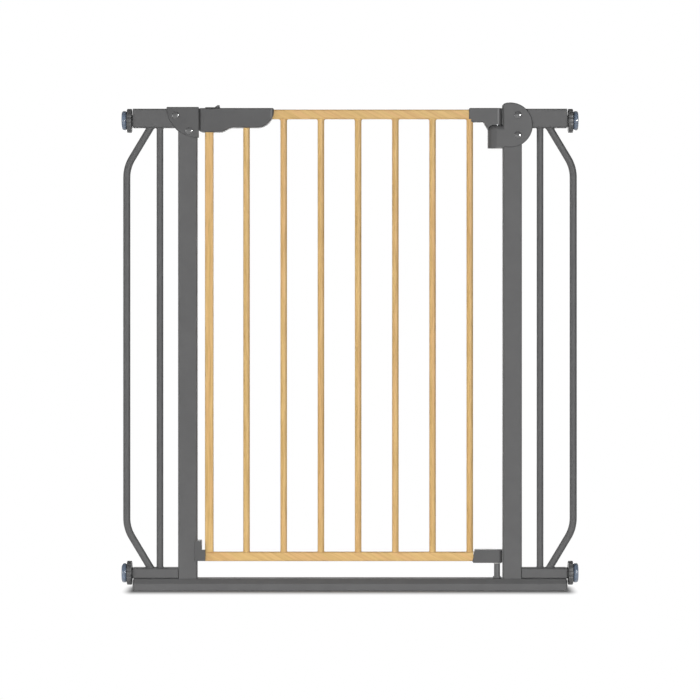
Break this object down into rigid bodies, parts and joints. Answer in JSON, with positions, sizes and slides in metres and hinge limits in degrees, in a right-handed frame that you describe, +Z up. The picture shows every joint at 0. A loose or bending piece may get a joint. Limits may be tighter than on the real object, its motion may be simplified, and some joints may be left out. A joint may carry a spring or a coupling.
{
  "type": "safety baby gate",
  "caption": "Pressure-fit safety gate: grey steel frame on a floor rail, hand-wheel wall spindles with soft pads, and a wood-toned barred leaf that lifts and swings behind a slide latch.",
  "frame": {"origin": "middle of the floor rail's underside", "axes": "+Z up, +X towards the hinge side, front towards -Y"},
  "size_m": [0.7218, 0.04, 0.7703],
  "materials": {
    "frame_coat": "grey powder coat, satin",
    "moulded_grey": "fine moulded texture",
    "coated_screws": "grey coated domed heads",
    "zinc_steel": "zinc plated",
    "hinge_spindle_coat": "grey coated steel",
    "nylon": "natural nylon",
    "leaf_woodgrain": "light wood-grain coat, satin",
    "wheel_plastic": "dark grey moulded",
    "pad_rubber": "soft blue-grey, glossy"
  },
  "bodies": {
    "frame": {"floor_rail": "frame_coat", "rail_end_caps": "moulded_grey", "left_post": "frame_coat", "right_post": "frame_coat", "post_base_screws": "zinc_steel", "spindle_plugs": "moulded_grey", "strike_keeper": "moulded_grey", "cover_screws": "coated_screws", "lower_catch": "moulded_grey", "lower_catch_screws": "zinc_steel", "hinge_bush": "nylon", "closing_spring": "zinc_steel", "rail_bush": "nylon", "strike_cover_front": "moulded_grey", "strike_cover_back": "moulded_grey", "hinge_housing_front": "moulded_grey", "hinge_housing_back": "moulded_grey", "left_top_arm": "frame_coat", "left_bottom_arm": "frame_coat", "left_straight_bar": "frame_coat", "left_bent_bar": "frame_coat", "right_top_arm": "frame_coat", "right_bottom_arm": "frame_coat", "right_straight_bar": "frame_coat", "right_bent_bar": "frame_coat"},
    "keyed_spindle": {"hinge_spindle": "hinge_spindle_coat", "spindle_clip": "zinc_steel"},
    "leaf": {"top_rail": "leaf_woodgrain", "bottom_rail": "leaf_woodgrain", "latch_stile": "leaf_woodgrain", "hinge_stile": "leaf_woodgrain", "leaf_bar_1": "leaf_woodgrain", "leaf_bar_2": "leaf_woodgrain", "leaf_bar_3": "leaf_woodgrain", "leaf_bar_4": "leaf_woodgrain", "leaf_bar_5": "leaf_woodgrain", "leaf_bar_6": "leaf_woodgrain", "upper_hinge_arm": "moulded_grey", "lower_hinge_arm": "moulded_grey", "upper_hinge_pin": "zinc_steel", "hinge_washer": "nylon", "handle_front": "moulded_grey", "handle_back": "moulded_grey", "handle_screws": "zinc_steel", "hinge_arm_screws": "zinc_steel", "latch_tongue": "moulded_grey"},
    "latch": {"latch_button": "moulded_grey", "latch_bolt": "zinc_steel"},
    "left_top_nut": {"left_top_wheel": "wheel_plastic"},
    "left_top_spindle": {"left_top_rod": "zinc_steel", "left_top_pad": "pad_rubber"},
    "left_bottom_nut": {"left_bottom_wheel": "wheel_plastic"},
    "left_bottom_spindle": {"left_bottom_rod": "zinc_steel", "left_bottom_pad": "pad_rubber"},
    "right_top_nut": {"right_top_wheel": "wheel_plastic"},
    "right_top_spindle": {"right_top_rod": "zinc_steel", "right_top_pad": "pad_rubber"},
    "right_bottom_nut": {"right_bottom_wheel": "wheel_plastic"},
    "right_bottom_spindle": {"right_bottom_rod": "zinc_steel", "right_bottom_pad": "pad_rubber"}
  },
  "joints": [
    {"name": "leaf_swing", "type": "hinge", "parent": "frame", "child": "keyed_spindle", "pos_m": [0.2327, 0, 0], "axis": [0, 0, -1], "range_deg": [0, 90], "stiffness_Nm_per_rad": 0.6},
    {"name": "leaf_lift", "type": "slide", "parent": "keyed_spindle", "child": "leaf", "axis": [0, 0, 1], "range_m": [0, 0.012]},
    {"name": "latch_slide", "type": "slide", "parent": "leaf", "child": "latch", "axis": [-1, 0, 0], "range_m": [0, 0.012]},
    {"name": "left_top_wheel_turn", "type": "hinge", "parent": "frame", "child": "left_top_nut", "pos_m": [-0.345, 0, 0.742], "axis": [1, 0, 0], "range_deg": [0, 4200]},
    {"name": "left_top_spindle_slide", "type": "slide", "parent": "frame", "child": "left_top_spindle", "axis": [-1, 0, 0], "range_m": [0, 0.035]},
    {"name": "left_bottom_wheel_turn", "type": "hinge", "parent": "frame", "child": "left_bottom_nut", "pos_m": [-0.345, 0, 0.0268], "axis": [1, 0, 0], "range_deg": [0, 4200]},
    {"name": "left_bottom_spindle_slide", "type": "slide", "parent": "frame", "child": "left_bottom_spindle", "axis": [-1, 0, 0], "range_m": [0, 0.035]},
    {"name": "right_top_wheel_turn", "type": "hinge", "parent": "frame", "child": "right_top_nut", "pos_m": [0.345, 0, 0.742], "axis": [-1, 0, 0], "range_deg": [0, 4200]},
    {"name": "right_top_spindle_slide", "type": "slide", "parent": "frame", "child": "right_top_spindle", "axis": [1, 0, 0], "range_m": [0, 0.035]},
    {"name": "right_bottom_wheel_turn", "type": "hinge", "parent": "frame", "child": "right_bottom_nut", "pos_m": [0.345, 0, 0.0268], "axis": [-1, 0, 0], "range_deg": [0, 4200]},
    {"name": "right_bottom_spindle_slide", "type": "slide", "parent": "frame", "child": "right_bottom_spindle", "axis": [1, 0, 0], "range_m": [0, 0.035]}
  ],
  "couplings": [
    {"joint": "left_top_wheel_turn", "follows": "left_top_spindle_slide", "rad_per_m": 2094.4},
    {"joint": "left_bottom_wheel_turn", "follows": "left_bottom_spindle_slide", "rad_per_m": 2094.4},
    {"joint": "right_top_wheel_turn", "follows": "right_top_spindle_slide", "rad_per_m": 2094.4},
    {"joint": "right_bottom_wheel_turn", "follows": "right_bottom_spindle_slide", "rad_per_m": 2094.4}
  ]
}
